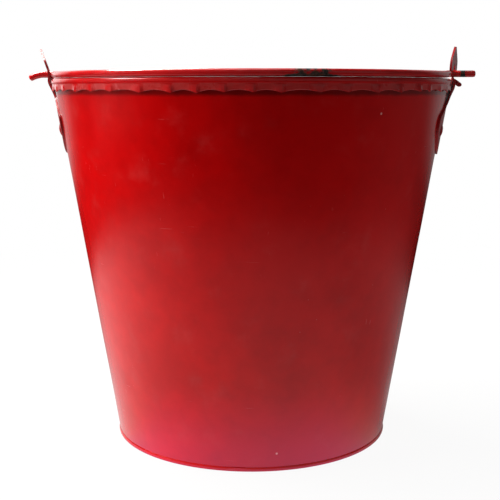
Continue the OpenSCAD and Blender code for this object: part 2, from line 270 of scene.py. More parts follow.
# how the scratches are stretched, the specks' size and seed, then roughness, shine and relief
surface = {
    "along": (0.05, 0.05, 1.0), "across": (1.0, 1.0, 0.04), "specks": (0.0065, 1.9),
    "uneven": 0.10, "scratched": 0.16, "dusty": 0.6, "steel": 0.42, "rust": 0.38, "shine": 0.9,
    "peelHeight": 0.0006, "chipRelief": 0.35, "chipHeight": 0.00025, "coatRough": 0.08, "specular": 0.35,
}


def enamelled(name, recipe):
    f = Finish(name)

    def pattern(key):
        return f.noise(*grain[key])

    def patched(key, at=None):
        return f.noise(*grain[key], at).step(*spread[key])

    mottle, patches = pattern("mottle"), pattern("patches")
    deep = pattern("cloud") * weight["cloud"] + mottle * weight["mottle"]
    tone = f.mix(deep.step(*spread["deep"]), recipe["colour"], recipe["deep"])
    # wear starts where the mesh says the piece is rubbed, and breaks up in patches
    rubbed = f.painted("wear") * recipe["wear"]
    chip = (rubbed + patches * weight["patches"]).step(*spread["chip"])
    fade = (rubbed + pattern("fade") * weight["fade"]).step(*spread["fade"])
    tone = f.mix(fade * weight["faded"], tone, recipe["deep"])
    rusty = patched("rust")
    steel = f.mix(patched("steel"), tones["dark"], tones["bright"])
    metal = f.mix(rusty, steel, f.mix(patched("rustTone"), tones["rustDeep"], tones["rust"]))
    # painted shade: a dark band on the wall just under the rim, where the rim's shadow falls; and two pale
    # dots painted on as glints
    shadeUnderRim = (f.upDown() + mottle * weight["paintedShadeEdge"]).step(*spread["shadeUnderRim"])
    tone = f.mix(shadeUnderRim * recipe["paintedShade"], tone, tones["paintedShade"])
    # each pale dot is a painted glint, faded out round its middle
    for angle, z in recipe.get("paintedGlints", ()):
        at = (*polar(wallR(z) * mm, math.radians(angle)), z * mm)
        far = f.node("ShaderNodeVectorMath", {"operation": "DISTANCE"}, {0: f.where(), 1: at}, out=1)
        tone = f.mix((1 - far.step(*spread["drop"])) * weight["drop"], tone, tones["drop"])
    # fine scratches run in two directions
    along = patched("along", f.stretched(*surface["along"]))
    across = patched("across", f.stretched(*surface["across"]))
    scratch = (along + across).clamped() * patched("scratched") * recipe["scratches"]
    tone = f.mix((scratch * weight["scratch"]).clamped(), tone, tones["scratch"])
    # dust lies in clouds and in small specks; the rim's flats between pleats get the same pale mix, a painted
    # sheen, and are rougher
    speck = (1 - f.cells(*surface["specks"]).step(*spread["speck"])) * patched("speckled")
    dust = (patched("dust") * weight["dust"] + speck * weight["speck"]) * recipe["dust"]
    dust = dust + f.painted("dull") * (weight["dull"] + patches * weight["flatSheenPatches"])
    tone = f.mix(dust.clamped(), tone, tones["dust"])
    tone = f.mix(chip, tone, metal)
    rough = recipe["gloss"] + pattern("gloss") * surface["uneven"]
    rough = rough + scratch * surface["scratched"] + dust * surface["dusty"]
    rough = rough + chip * (surface["steel"] + rusty * surface["rust"] - rough)
    peel = pattern("peelFine") * weight["peelFine"] + pattern("peel")
    relief = f.bump(peel, recipe["peel"], surface["peelHeight"])
    sunk = scratch * -1.0 - chip * weight["chipDeep"]
    relief = f.bump(sunk, surface["chipRelief"], surface["chipHeight"], relief)
    f.set(baseColor=tone, roughness=rough, metallic=chip * (1 - rusty) * surface["shine"], normal=relief,
          coat=(1 - chip) * recipe["coat"], coatRoughness=surface["coatRough"], specular=surface["specular"])
    return f.material


wireFinish = {"grain": (0.0006, 3.0, 0.6, 2.0), "along": (1.0, 1.0, 0.2), "spread": (0.3, 0.7),
              "dark": (0.22, 0.22, 0.23), "bright": (0.42, 0.42, 0.43), "rough": (0.28, 0.2),
              "relief": (0.15, 0.0002)}


def drawnWire(name):
    f, look = Finish(name), wireFinish
    lines = f.noise(*look["grain"], f.stretched(*look["along"]))
    least, more = look["rough"]
    f.set(baseColor=f.mix(lines.step(*look["spread"]), look["dark"], look["bright"]), metallic=1.0,
          roughness=least + lines * more, normal=f.bump(lines, *look["relief"]))
    return f.material


finishes = {name: enamelled(name, recipe) for name, recipe in enamels.items()}
finishes["plain_steel"] = drawnWire("plain_steel")
print("finishes made:", len(finishes))


# objects and meshes


def stood(name, data):
    made = bpy.data.objects.new(name, data)
    bpy.context.scene.collection.objects.link(made)
    return made


def pieceFrom(name, points, faces, slot, body, wear=None, sharp=40, dull=None):
    mesh = bpy.data.meshes.new(name)
    mesh.from_pydata([Vector(p) * mm for p in points], [], faces)
    mesh.validate()
    mesh.polygons.foreach_set("use_smooth", [True] * len(mesh.polygons))
    for layerName, values in (("wear", wear), ("dull", dull)):
        if values:
            layer = mesh.attributes.new(layerName, "FLOAT", "POINT")
            layer.data.foreach_set("value", values)
    mesh.set_sharp_from_angle(angle=math.radians(sharp))
    made = stood(name, mesh)
    mesh.materials.append(finishes[slot])
    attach(made, body)
    return made


def gridFaces(rows, columns, closedRows=False, closedColumns=False):
    faces = []
    for i in range(rows if closedRows else rows - 1):
        for j in range(columns if closedColumns else columns - 1):
            a, b = i * columns + j, i * columns + (j + 1) % columns
            k = (i + 1) % rows * columns
            faces.append((a, b, k + (j + 1) % columns, k + j))
    return faces


cornerSteps = 7


def corner(p, a, b, r):
    # points of a corner at p, rounded to radius r between the directions to a and b
    p, a, b = Vector(p), Vector(a), Vector(b)
    u, v = (a - p).normalized(), (b - p).normalized()
    half = math.acos(max(-1, min(1, u.dot(v)))) / 2
    centre = p + (u + v).normalized() * r / math.sin(half)
    start, end = p + u * r / math.tan(half) - centre, p + v * r / math.tan(half) - centre
    turns = evenly(0, -start.angle_signed(end), cornerSteps)
    return [centre + Matrix.Rotation(turn, 2) @ start for turn in turns]


def rounded(points):
    outline = []
    for i, (x, y, r) in enumerate(points):
        a, b = points[i - 1], points[(i + 1) % len(points)]
        outline += corner((x, y), a[:2], b[:2], r)
    return outline


def mended(made, merge=None):
    # joins points nearer than merge, or else fills open ends, and turns all faces outward
    whole = bmesh.new()
    whole.from_mesh(made.data)
    if merge:
        bmesh.ops.remove_doubles(whole, verts=whole.verts[:], dist=merge)
    else:
        bmesh.ops.holes_fill(whole, edges=whole.edges[:], sides=0)
    bmesh.ops.recalc_face_normals(whole, faces=whole.faces[:])
    whole.to_mesh(made.data)
    whole.free()


# wall: one tapered sheet, slightly uneven, and its folded seam at the back

wallLook = {
    "columns": 420, "rows": 110, "low": 1.0, "waves": ((0.14, 60, 1), (0.07, 26, 2)), "dents": 16,
    "dentUp": (22, 236), "dentDepth": (0.12, 0.4), "dentSize": (7, 20), "earClear": 34, "earLow": 200,
    "seed": 12,
    # where the sheet is held true: below, above, beside the seam and round the ears
    "foot": (6, 30), "top": (228, 256), "seam": (5, 12), "ears": (24, 34), "earsUp": (180, 205),
}
dice = random.Random(wallLook["seed"])
dents = []
while len(dents) < wallLook["dents"]:
    turn, up = dice.uniform(0, 360), dice.uniform(*wallLook["dentUp"])
    if abs((turn + 90) % 180 - 90) < wallLook["earClear"] and up > wallLook["earLow"]:
        continue
    depth, size = dice.uniform(*wallLook["dentDepth"]), dice.uniform(*wallLook["dentSize"])
    dents.append((math.radians(turn), up, depth, size))


def wallOffset(turn, z):
    # how far the sheet lies off a true cone here; none at its edges, its seam and its ears
    look, degrees, r = wallLook, math.degrees(turn), wallR(z)
    hold = smooth(*look["foot"], z) * (1 - smooth(*look["top"], z))
    hold *= smooth(*look["seam"], abs(degrees - 90))
    nearEar = min(abs(degrees - ear) for ear in (0, 180, 360))
    hold *= 1 - (1 - smooth(*look["ears"], nearEar)) * smooth(*look["earsUp"], z)
    off = sum(ripple(*polar(r, turn), z, *wave) for wave in look["waves"])
    for at, up, depth, size in dents:
        away = ((turn - at + math.pi) % (2 * math.pi) - math.pi) * r
        off -= depth * math.exp(-(away * away + (z - up) ** 2) / size / size)
    return off * hold


points, columns = [], wallLook["columns"]
rows = evenly(wallLook["low"], wallTop, wallLook["rows"])
section = [(z, 0) for z in rows] + [(z, sheetAcross) for z in reversed(rows)]
for z, inward in section:
    for turn in evenly(0, 2 * math.pi, columns)[:-1]:
        points.append((*polar(wallR(z) - inward + wallOffset(turn, z), turn), z))
faces = gridFaces(len(section), columns, True, True)
wallSheet = pieceFrom("wallSheet", points, faces, "red_enamel", "bucket")
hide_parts("wall")

seamLook = {
    "width": 7, "low": 4.4, "high": 263.2, "rows": 130, "press": (0.07, 9, 5), "wave": (0.10, 18, 6),
    "endPress": 0.35, "endOver": 5,
    # across from the left edge, out from the wall; the upper layer starts 2.1 in
    "profile": ((0, -0.3), (0, 0.25), (0.25, 0.62), (0.9, 0.85), (2.1, 0.9), (2.35, 1.3), (2.9, 1.5),
                (6.1, 1.5), (6.7, 1.2), (7, 0.6), (7, -0.3)),
}
points = []
for z in evenly(seamLook["low"], seamLook["high"], seamLook["rows"]):
    toEnd = min(z - seamLook["low"], seamLook["high"] - z)
    ends = seamLook["endPress"] + (1 - seamLook["endPress"]) * smooth(0, seamLook["endOver"], toEnd)
    press = (1 + ripple(0, 0, z, *seamLook["press"])) * ends
    for across, out in seamLook["profile"]:
        x = across - seamLook["width"] / 2
        r = wallR(z) + (out * press if out > 0 else out)
        points.append((x + ripple(x, 0, z, *seamLook["wave"]), r, z))
count, last = len(seamLook["profile"]), seamLook["rows"] * len(seamLook["profile"])
faces = [tuple(reversed(face)) for face in gridFaces(seamLook["rows"] + 1, count, False, True)]
faces += [tuple(range(count)), tuple(range(last + count - 1, last - 1, -1))]
sideSeam = pieceFrom("sideSeam", points, faces, "red_enamel", "bucket")
print("wall and seam done")

# bottom pan: pressed disc with its edge turned up round the wall

panLook = {
    "sheet": 0.9, "lip": 3.2, "rise": 3, "ring": 9, "slope": 5, "edge": 0.8, "columns": 360, "steps": 8,
    "middle": (0.01, 20, 45, 70), "middleEnd": 3, "edgeUp": 0.5, "edgeLean": 0.2,
    "lipTip": ((0.35, 0.9), (0.08, 0.15), (0, 0), (-0.07, 0.1)),  # out from its inside, down from its top
    "wave": (0.06, 14, 8), "dish": (0.25, 40, 9), "dishTo": 60, "waveFrom": 0.6,
    "gapeAt": -92, "gape": 0.45, "gapeWide": 2.6, "footWear": 0.55, "footUp": (0.3, 1.6), "lipWear": 0.25,
}
thick, lip, edge = panLook["sheet"], panLook["lip"], panLook["edge"]
lipIn = wallR(0) + bucket["gap"] / math.cos(taper)
lipOut, lean = lipIn + thick, slope * lip
ringIn = lipOut - panLook["ring"]
riseIn = ringIn - panLook["slope"]


def pressed(r):  # height of the pan's underside at radius r
    return (1 - smooth(riseIn, ringIn, r)) * panLook["rise"]


middle, slant = panLook["middle"], evenly(riseIn, ringIn, panLook["steps"])
profile = [(r, pressed(r)) for r in (*middle, riseIn - panLook["middleEnd"], *slant)]
profile += [(lipOut - edge + edge * math.sin(a), edge * (1 - math.cos(a)))
            for a in evenly(0, math.pi / 2, panLook["steps"])]
profile.append((lipOut + lean * panLook["edgeLean"], edge + panLook["edgeUp"]))
profile += [(lipIn + lean + out, lip - down) for out, down in panLook["lipTip"]]
profile += [(lipIn, thick), (ringIn, thick)]
profile += [(r, thick + pressed(r)) for r in (*slant[-2::-1], *reversed(middle))]
points, wear = [], []
for turn in evenly(0, 2 * math.pi, panLook["columns"])[:-1]:
    loose = math.degrees((turn + math.pi) % (2 * math.pi) - math.pi) - panLook["gapeAt"]
    gape = panLook["gape"] * math.exp(-(loose / panLook["gapeWide"]) ** 2)
    for r, z in profile:
        x, y = polar(r, turn)
        onLip = smooth(lip * panLook["waveFrom"], lip, z) if r > lipIn else 0
        drop = (panLook["wave"][0] + ripple(x, y, 0, *panLook["wave"])) * onLip
        dish = ripple(x, y, 0, *panLook["dish"]) * (1 - smooth(panLook["dishTo"], riseIn, r))
        out = 1 + gape * onLip / r
        points.append((x * out, y * out, z - drop + dish))
        onFoot = smooth(ringIn, lipOut, r) * (1 - smooth(*panLook["footUp"], z))
        wear.append(panLook["footWear"] * onFoot + panLook["lipWear"] * onLip)
faces = gridFaces(panLook["columns"], len(profile), True, True)
panDisc = pieceFrom("panDisc", points, faces, "red_enamel", "bucket", wear, 50)
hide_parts("bottom_pan")
print("pan done")

# rim binding: strip folded over the wire and crimped, flat between pleats that hang to blunt points

rimLook = {
    "panelColumns": 26, "gather": 0.09, "leftFlank": 4.2, "rightFlank": 1.7, "pleatSpread": 0.25,
    "hang": 0.5, "dipMost": 0.45, "frontAt": -87, "jitter": 0.7, "seed": 5, "uneven": (0.04, 9, 11),
    "frontPleats": (-60.5, -52.2, -44.9, -37.6, -28.4, -19.8, -13.2, -6.5, 0.4, 7.1, 16.8, 24, 32.8, 40.6,
                    48.9, 54.1),
    # inside leg: out from its face, up from its end, wear
    "leg": ((0.12, 0, 0.35), (0, 0.3, 0.3), (0, 1.8, 0.1)),
    "bead": {"from": 238, "to": -30, "steps": 22, "full": 0.1, "rub": 0.7, "rubTurn": 0.25},
    "band": {"in": 0.12, "down": 0.3, "off": 0.1, "hem": 0.25, "steps": 9, "bulge": 0.4, "ridge": 1.2,
             "rub": 0.15, "lowRub": 0.25, "ridgeRub": 0.5},
    # cut edge: in, down, wear; its last two points are measured from the strip's back
    "edge": ((0.10, 0.19, 0.8), (0.28, 0.25, 0.8)), "edgeBack": ((-0.1, 0.25, 0.5), (0, 0.1, 0.3)),
    "hollow": {"from": -58, "steps": 8, "under": 2.6, "legUp": 0.1, "rub": 0.2},
    # where on each flat, and how far below the wire, the painted sheen and extra roughness lie
    "farFromEars": 0.75, "earFree": (0.42, 0.7), "flatSheenOver": (0.03, 0.2), "flatSheenEnd": (0.62, 0.92),
    "flatSheenBelow": 1.5,
}
dice = random.Random(rimLook["seed"])
places = [rimLook["frontAt"] + a for a in rimLook["frontPleats"]]
rest = crimp["count"] - len(places) + 1
step = (360 - (places[-1] - places[0])) / rest
places += [places[-1] + step * (i + 1) + dice.uniform(-1, 1) * rimLook["jitter"] for i in range(rest - 1)]
pleats = []
for at in places:  # each pleat's place, how far it stands out and how low it hangs
    stands = 1 + dice.uniform(-1, 1) * rimLook["pleatSpread"]
    pleats.append((at, stands, dice.uniform(-1, 1) * rimLook["hang"]))
pleats.append((pleats[0][0] + 360, *pleats[0][1:]))
legAway = (bucket["gap"] + bucket["binding"]) / math.cos(taper)
stripBack = bucket["binding"] / math.cos(taper)


def innerR(z):
    return wallR(z) - sheetAcross - legAway


def outerR(z):
    return wallR(z) + legAway


def bindingSection(share, left, right, free):
    # one slice of the strip: its inner edge, over the wire, down to its scalloped edge, then back inside
    bead, band, hollow = rimLook["bead"], rimLook["band"], rimLook["hollow"]
    wide = math.radians(right[0] - left[0]) * wallR(bandLow)
    ridge = left[1] * math.exp(-(share * wide / rimLook["rightFlank"]) ** 2)
    ridge += right[1] * math.exp(-((1 - share) * wide / rimLook["leftFlank"]) ** 2)
    off = (2 * share - 1) ** 2
    chord = min(wide ** 2 / 8 / wallR(bandLow), rimLook["dipMost"]) * off
    edgeZ = bandLow + crimp["scallop"] * (1 - off) + left[2] * (1 - share) ** 3 + right[2] * share ** 3
    legZ = bucket["height"] - bucket["innerLeg"]
    path = [(innerR(legZ + up) + out, legZ + up, rub) for out, up, rub in rimLook["leg"]]
    for a in map(math.radians, evenly(bead["from"], bead["to"], bead["steps"])):
        x, z = polar(beadR + bead["full"] * max(0.0, math.sin(a)), a)
        path.append((wireAt + x, wireZ + z, bead["rub"] * max(0.0, math.sin(a + bead["rubTurn"])) ** 2))
    topZ = path[-1][1] - band["down"]
    fullness = path[-1][0] - band["in"] - outerR(topZ) - band["off"]
    stand = (crimp["pleat"] + rimLook["farFromEars"] * free) * ridge
    for t in evenly(0, 1, band["steps"]):
        z = topZ + (edgeZ + band["hem"] - topZ) * t
        out = fullness * (1 - t) + crimp["standOff"] * t + chord * smooth(0, band["bulge"], t)
        out += stand * t ** band["ridge"] + band["off"]
        rub = band["rub"] + band["lowRub"] * t + band["ridgeRub"] * min(ridge, 1) * t * t
        path.append((outerR(z) + out, z, rub))
    r, z, rub = path[-1]
    path += [(r - inward, z - down, rub) for inward, down, rub in rimLook["edge"]]
    path += [(r - stripBack - inward, z - down, rub) for inward, down, rub in rimLook["edgeBack"]]
    underZ = wireZ - hollow["under"]
    path.append((outerR(underZ) - stripBack, underZ, 0))
    for a in map(math.radians, evenly(hollow["from"], bead["from"], hollow["steps"])):
        x, z = polar(bucket["wire"] + bucket["wireGap"], a)
        path.append((wireAt + x, wireZ + z, 0))
    path.append((innerR(underZ) + stripBack, underZ, 0))
    path.append((innerR(legZ) + stripBack, legZ + hollow["legUp"], hollow["rub"]))
    return path


points, wear, dull, columns = [], [], [], 0
for left, right in zip(pleats, pleats[1:]):
    for share in evenly(0, 1, rimLook["panelColumns"])[:-1]:
        share -= rimLook["gather"] * math.sin(2 * math.pi * share)  # more columns near the pleats
        turn = math.radians(left[0] + (right[0] - left[0]) * share)
        x, y = polar(1, turn)
        # the flats between the pleats are marked for a painted sheen
        flat = smooth(*rimLook["flatSheenOver"], share) * (1 - smooth(*rimLook["flatSheenEnd"], share))
        columns += 1
        for r, z, rub in bindingSection(share, left, right, smooth(*rimLook["earFree"], abs(y))):
            r = min(r + ripple(r * x, r * y, z, *rimLook["uneven"]), wireAt + beadR)
            points.append((r * x, r * y, z))
            wear.append(rub)
            dull.append(flat if z < wireZ - rimLook["flatSheenBelow"] else 0)
faces = gridFaces(columns, len(points) // columns, True, True)
rimStrip = pieceFrom("rimStrip", points, faces, "rim_enamel", "bucket", wear, 55, dull)
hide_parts("rim_binding")
nodes["rim_wire"].data.materials.clear()
nodes["rim_wire"].data.materials.append(finishes["plain_steel"])
print("rim done:", len(places), "pleats")

# ears: pressed plates, curved to the wall below, bent out past the rim, flat above

earLook = {
    "sheet": 1.5, "leafStart": 3, "eye": 5, "eyeSides": 40, "drop": 56, "halfWidth": 46, "point": 18,
    "pointR": 34, "sideR": 17, "shoulderDrop": 6, "shoulderR": 5, "halfNeck": 13.5, "neckTop": -0.4,
    "filletUp": 7, "filletR": 9, "rise": 26, "halfLeaf": 22, "leafSlope": 11, "leafSide": 7, "leafR": 6,
    "leafLowR": 5, "tip": 2.5, "tipR": 2, "cutEvery": (2.6, 1.5), "bevel": 0.32, "uneven": (0.10, 16),
    "left": {"lean": 19, "twist": -13, "bend": -2, "low": 2.5, "seed": 22},
    "right": {"lean": 4, "twist": -14, "bend": -10, "low": 2.0, "seed": 21},
    # up the plate from where the upper leaf starts: its lowest point, the steps, and each change
    "bottom": -60, "step": 0.25, "flareOver": (-1.2, 1.8), "bendOver": 2.0, "curveOver": (-16, -6),
    "twistOver": (-6, 1.5), "unevenOver": (-8, 4),
    # wear at the edges and round the eye, with how far it fades, and up the leaf
    "edgeWear": (0.9, 1.1), "eyeWear": (0.75, 3.5), "leafWear": 0.3, "leafWearOver": (-12, 6),
    "tongue": {"length": 8, "halfWidth": 3, "dip": 35, "slit": 0.22, "round": 0.35, "wear": 0.5},
}


def earCorners(low):
    # half of the plate laid flat: across, up from the line where the upper leaf starts, rounding
    look = earLook
    rim, half, neck, leaf = -look["leafStart"], look["halfWidth"], look["halfNeck"], look["halfLeaf"]
    kink = kinkZ - bucket["height"] + rim
    shoulder, sideLow = kink - look["shoulderDrop"], rim - look["drop"] + look["point"]
    sideR = min(look["sideR"], 2 * (shoulder - sideLow - look["shoulderR"]))
    tip = look["rise"] - look["leafStart"] - low
    sideTop = tip - look["leafSlope"]
    return [(half / 2, rim - look["drop"], look["pointR"]), (half, sideLow, sideR),
            (half, shoulder, look["shoulderR"]), (neck, kink + look["filletUp"], look["filletR"]),
            (neck, look["neckTop"], look["tipR"]), (leaf, sideTop - look["leafSide"], look["leafLowR"]),
            (leaf, sideTop, look["leafR"]), (look["tip"], tip, look["tipR"])]


def earLine(lean, bend):
    # the plate's middle line: steps of (distance up the plate, radius, height, lean)
    line, at = [], earLook["leafStart"] + bucket["height"]
    s, ds, over = earLook["bottom"], earLook["step"], earLook["bendOver"]
    flareFrom, flareTo = (kinkZ - at + a for a in earLook["flareOver"])
    z = at + s
    r = wallR(z) + (bucket["gap"] + earLook["sheet"] / 2) / math.cos(taper)
    while s < earLook["rise"]:
        angle = math.degrees(taper)
        angle += (crimp["flare"] - angle) * smooth(flareFrom, flareTo, s)
        angle = math.radians(angle + (lean - crimp["flare"]) * smooth(bend - over, bend + over, s))
        line.append((s, r, z, angle))
        # below the upper leaf s is a height, on the leaf it is measured along the plate
        up, out = (ds, ds * math.tan(angle)) if s < 0 else (ds * math.cos(angle), ds * math.sin(angle))
        s, r, z = s + ds, r + out, z + up
    return line


def plateGrid(outline, hole, every):
    # a flat plate with a hole, cut into small faces so that it can be bent
    flat = bmesh.new()
    for ring in (outline, hole):
        loop = [flat.verts.new((p[0], p[1], 0)) for p in ring]
        for i in range(len(loop)):
            flat.edges.new((loop[i - 1], loop[i]))
    bmesh.ops.triangle_fill(flat, use_beauty=True, edges=flat.edges[:])
    for axis in (0, 1):
        reach = [v.co[axis] for v in flat.verts]
        low, high, size = min(reach), max(reach), every[axis]
        cut = math.ceil(low / size) * size
        while cut < high:
            place, normal = Vector((0, 0, 0)), Vector((0, 0, 0))
            place[axis], normal[axis] = cut, 1
            bmesh.ops.bisect_plane(flat, geom=flat.verts[:] + flat.edges[:] + flat.faces[:], dist=1e-5,
                                   plane_co=place, plane_no=normal)
            cut += size
    bmesh.ops.remove_doubles(flat, verts=flat.verts[:], dist=0.02)
    bmesh.ops.recalc_face_normals(flat, faces=flat.faces[:])
    flat.verts.index_update()
    spots = [(v.co.x, v.co.y) for v in flat.verts]
    facing = 1 if sum(face.normal.z for face in flat.faces) > 0 else -1
    faces = [[v.index for v in face.verts][::facing] for face in flat.faces]
    rims = []
    for edge in flat.edges:
        if len(edge.link_faces) == 1:
            loop = edge.link_loops[0]
            a, b = loop.vert.index, loop.link_loop_next.vert.index
            rims.append((a, b)[::facing])
    flat.free()
    return spots, faces, rims


def makeEar(name, look, side, node):
    line, half = earLine(look["lean"], look["bend"]), earCorners(look["low"])
    outline = rounded(half + [(-x, y, r) for x, y, r in reversed(half)])
    hingeAt = min(line, key=lambda p: abs(p[2] - hingeZ))
    tall = earLook["eye"] / math.cos(hingeAt[3])
    wide = earLook["eye"] / math.cos(math.radians(look["twist"]))
    hole = [(wide * math.cos(a), hingeAt[0] + tall * math.sin(a))
            for a in evenly(0, 2 * math.pi, earLook["eyeSides"])[:-1]]
    spots, faces, rims = plateGrid(outline, hole, earLook["cutEvery"])
    edges = [spots[a] for a, b in rims]

    def bent(u, s, out):
        place = min(max((s - earLook["bottom"]) / earLook["step"], 0), len(line) - 1.001)
        i, t = int(place), place - int(place)
        r, z, lean = (line[i][k] * (1 - t) + line[i + 1][k] * t for k in (1, 2, 3))
        out += ripple(u, s, 0, *earLook["uneven"], look["seed"]) * smooth(*earLook["unevenOver"], s)
        curve = 1 - smooth(*earLook["curveOver"], s)
        turn = curve * math.asin(u / r)
        sag = curve * (r - math.sqrt(r * r - u * u))
        twist = math.radians(look["twist"]) * smooth(*earLook["twistOver"], s)
        local = Matrix.Rotation(twist, 3, "Z") @ Vector((out * math.cos(turn), u + out * math.sin(turn), 0))
        return (side * (r - sag + local.x * math.cos(lean)), local.y, z - local.x * math.sin(lean))

    count, wear = len(spots), []
    points = [bent(u, s, face * earLook["sheet"] / 2) for face in (1, -1) for u, s in spots]
    (edgeMost, edgeFar), (eyeMost, eyeFar) = earLook["edgeWear"], earLook["eyeWear"]
    for u, s in spots:
        near = min(math.hypot(u - a, s - b) for a, b in edges)
        fromEye = max(math.hypot(u, s - hingeAt[0]) - earLook["eye"], 0)
        rub = edgeMost * math.exp(-near / edgeFar) + eyeMost * math.exp(-fromEye / eyeFar)
        wear.append(min(rub + earLook["leafWear"] * smooth(*earLook["leafWearOver"], s), 1.0))
    made = [tuple(face) for face in faces] + [tuple(v + count for v in reversed(face)) for face in faces]
    made += [(b, a, a + count, b + count) for a, b in rims]
    if side < 0:
        made = [tuple(reversed(face)) for face in made]
    ear = pieceFrom(name, points, made, "ear_enamel", "bucket", wear + wear, 35)
    rounding = ear.modifiers.new("rounding", "BEVEL")
    rounding.width, rounding.segments, rounding.limit_method = earLook["bevel"] * mm, 2, "ANGLE"
    rounding.angle_limit = math.radians(50)
    rounding.use_clamp_overlap = True
    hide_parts(node)
    return line


makeEar("earLeft", earLook["left"], -1, "ear_left")
rightLine = makeEar("earRight", earLook["right"], 1, "ear_right")


def makeTongue():
    # a tab struck out of the right ear below its eye and folded double
    look, sheet = earLook["tongue"], earLook["sheet"]
    rootZ = hingeZ - earLook["eye"] - sheet
    _, rootR, rootZ, _ = min(rightLine, key=lambda p: abs(p[2] - rootZ))
    long, slit, half, inset = look["length"] - sheet, look["slit"], look["halfWidth"], look["round"]
    # its side: out along the tab and up from its middle, below, round the fold, above and through the slit
    side = [(-0.6, -sheet), (0.5, -sheet), (long * 0.5, -sheet - 0.05)]
    side += [(long + sheet * math.sin(a), -sheet * math.cos(a)) for a in evenly(0, math.pi, 10)]
    side += [(long * 0.5, sheet + 0.08), (1.6, sheet), (0.9, sheet * 0.9), (0.7, slit)]
    side += [(long - 0.4, slit), (long - 0.1, 0), (long - 0.4, -slit), (-0.6, -slit)]
    cos, sin = polar(1, math.radians(look["dip"]))
    points = []
    for y, less in ((-half, inset), (-half + inset, 0), (half - inset, 0), (half, inset)):
        for a, b in side:
            b -= math.copysign(min(less, abs(b) * 0.5), b)
            a -= less * smooth(long, long + sheet, a)
            points.append((rootR + a * cos + b * sin, y, rootZ - a * sin + b * cos))
    faces = gridFaces(4, len(side), False, True)
    made = pieceFrom("earTongue", points, faces, "ear_enamel", "bucket", [look["wear"]] * len(points))
    mended(made)


makeTongue()
print("ears done")

# rivets: domed heads outside, set tails inside

rivetLook = {
    "shank": 2, "head": 4.5, "rise": 1.1, "tail": 3.6, "tailRise": 1.1, "inset": 14, "wingDrop": 16,
    "midUp": 10, "seed": 3, "domeSteps": 11, "sides": 28, "seeds": 50, "tilt": 0.05, "struck": (0.10, 2.6),
    "struckFrom": 1.8, "wear": 0.2, "headWear": 0.6, "headWearOver": (2.2, 3.2),
    # in from the head's radius and up, and in from the tail's radius and back
    "headEdge": ((0, 0.05), (0.15, 0)), "tailEdge": ((0.25, 0), (0, 0.3), (0.1, 0.75), (0.55, 1.0)),
}
dice = random.Random(rivetLook["seed"])


def rivetProfile():
    look = rivetLook
    head, rise, tail, shank = look["head"], look["rise"], look["tail"], look["shank"]
    out, back = 2 * bucket["gap"] + earLook["sheet"], -bucket["sheet"] - bucket["gap"]
    dome = (head ** 2 + rise ** 2) / 2 / rise
    path = [(0.0, out + rise)]
    path += [(dome * math.sin(a), out + rise - dome + dome * math.cos(a))
             for a in evenly(0, math.asin(head / dome), look["domeSteps"])[1:]]
    path += [(head - inward, out + up) for inward, up in look["headEdge"]]
    path += [(shank, out), (shank, back)]
    path += [(tail - inward, back - down) for inward, down in look["tailEdge"]]
    return path + [(tail * 0.5, back - look["tailRise"]), (0.0, back - look["tailRise"])]


def makeRivets(name, side, node):
    look = rivetLook
    wingZ, midZ = kinkZ - look["wingDrop"], bucket["height"] - earLook["drop"] + look["midUp"]
    wing = math.asin((earLook["halfWidth"] - look["inset"]) / wallR(wingZ))
    profile, points, faces, wear = rivetProfile(), [], [], []
    for turn, z in ((-wing, wingZ), (wing, wingZ), (0, midZ)):
        seed = dice.uniform(0, look["seeds"])
        tip = [dice.uniform(-look["tilt"], look["tilt"]) for axis in "xy"]
        around = Matrix.Rotation(turn, 3, "Z")
        facing = around @ Matrix.Rotation(taper, 3, "Y") @ Matrix.Rotation(math.pi / 2, 3, "Y")
        centre = around @ Vector((wallR(z), 0, 0)) + Vector((0, 0, z))
        base = len(points)
        for r, out in profile:
            for a in evenly(0, 2 * math.pi, look["sides"])[:-1]:
                x, y = polar(r, a)
                struck = ripple(x, y, out, *look["struck"], seed) if out > look["struckFrom"] else 0
                spot = centre + facing @ Vector((x + tip[0] * out, y + tip[1] * out, out + min(struck, 0)))
                points.append((side * spot.x, spot.y, spot.z))
                wear.append(look["headWear"] * smooth(*look["headWearOver"], out) + look["wear"])
        ring = gridFaces(len(profile), look["sides"], False, True)
        faces += [tuple(v + base for v in face) for face in ring]
    made = pieceFrom(name, points, faces, "rivet_enamel", "bucket", wear)
    mended(made, 1e-6)
    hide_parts(node)


makeRivets("rivetsLeft", -1, "rivets_left")
makeRivets("rivetsRight", 1, "rivets_right")
print("rivets done")

# bail: one length of rod, arched over the front rim, its ends out through the eyes

bailLook = {
    "bendR": 8, "rightEnd": 14, "leftEnd": 16.4, "endStraight": 5, "endBendR": 22, "sides": 28,
    "archSteps": 360, "bendSteps": 16, "endSteps": 12, "straightSteps": 6, "uneven": (0.018, 5, 31),
    "chamfer": ((0.0, 0.0), (0.55, 0.0), (0.82, 0.12), (0.95, 0.35), (1.0, 0.75)),
    "clear": 0.12, "leftRise": 1.0, "leftRiseOver": (60, 90), "rightRise": 1.3, "rightRiseOver": (64, 90),
    # wear: all along, where it is held (in degrees from the front), in the eyes and below; on the right, just
    # outside the ear, the eye wear also paints the ear's shadow on the rod
    "wear": 0.12, "held": 0.55, "heldFrom": (8.5, 14.5), "heldTo": (20.0, 28.0), "inEye": 0.75,
    "eyeAt": 4.5, "eyeWide": 3.0, "leftEye": 0.45, "under": 0.35, "underEnds": 4,
}
bailR, bendR = wireAt, bailLook["bendR"]
restDip = math.asin((bucket["hingeUp"] - bucket["rod"] - bucket["restGap"]) / bailR)
bendAt = math.sqrt((bailR + bendR) ** 2 - bendR ** 2)
bendTurn = math.acos(bendR / (bailR + bendR))


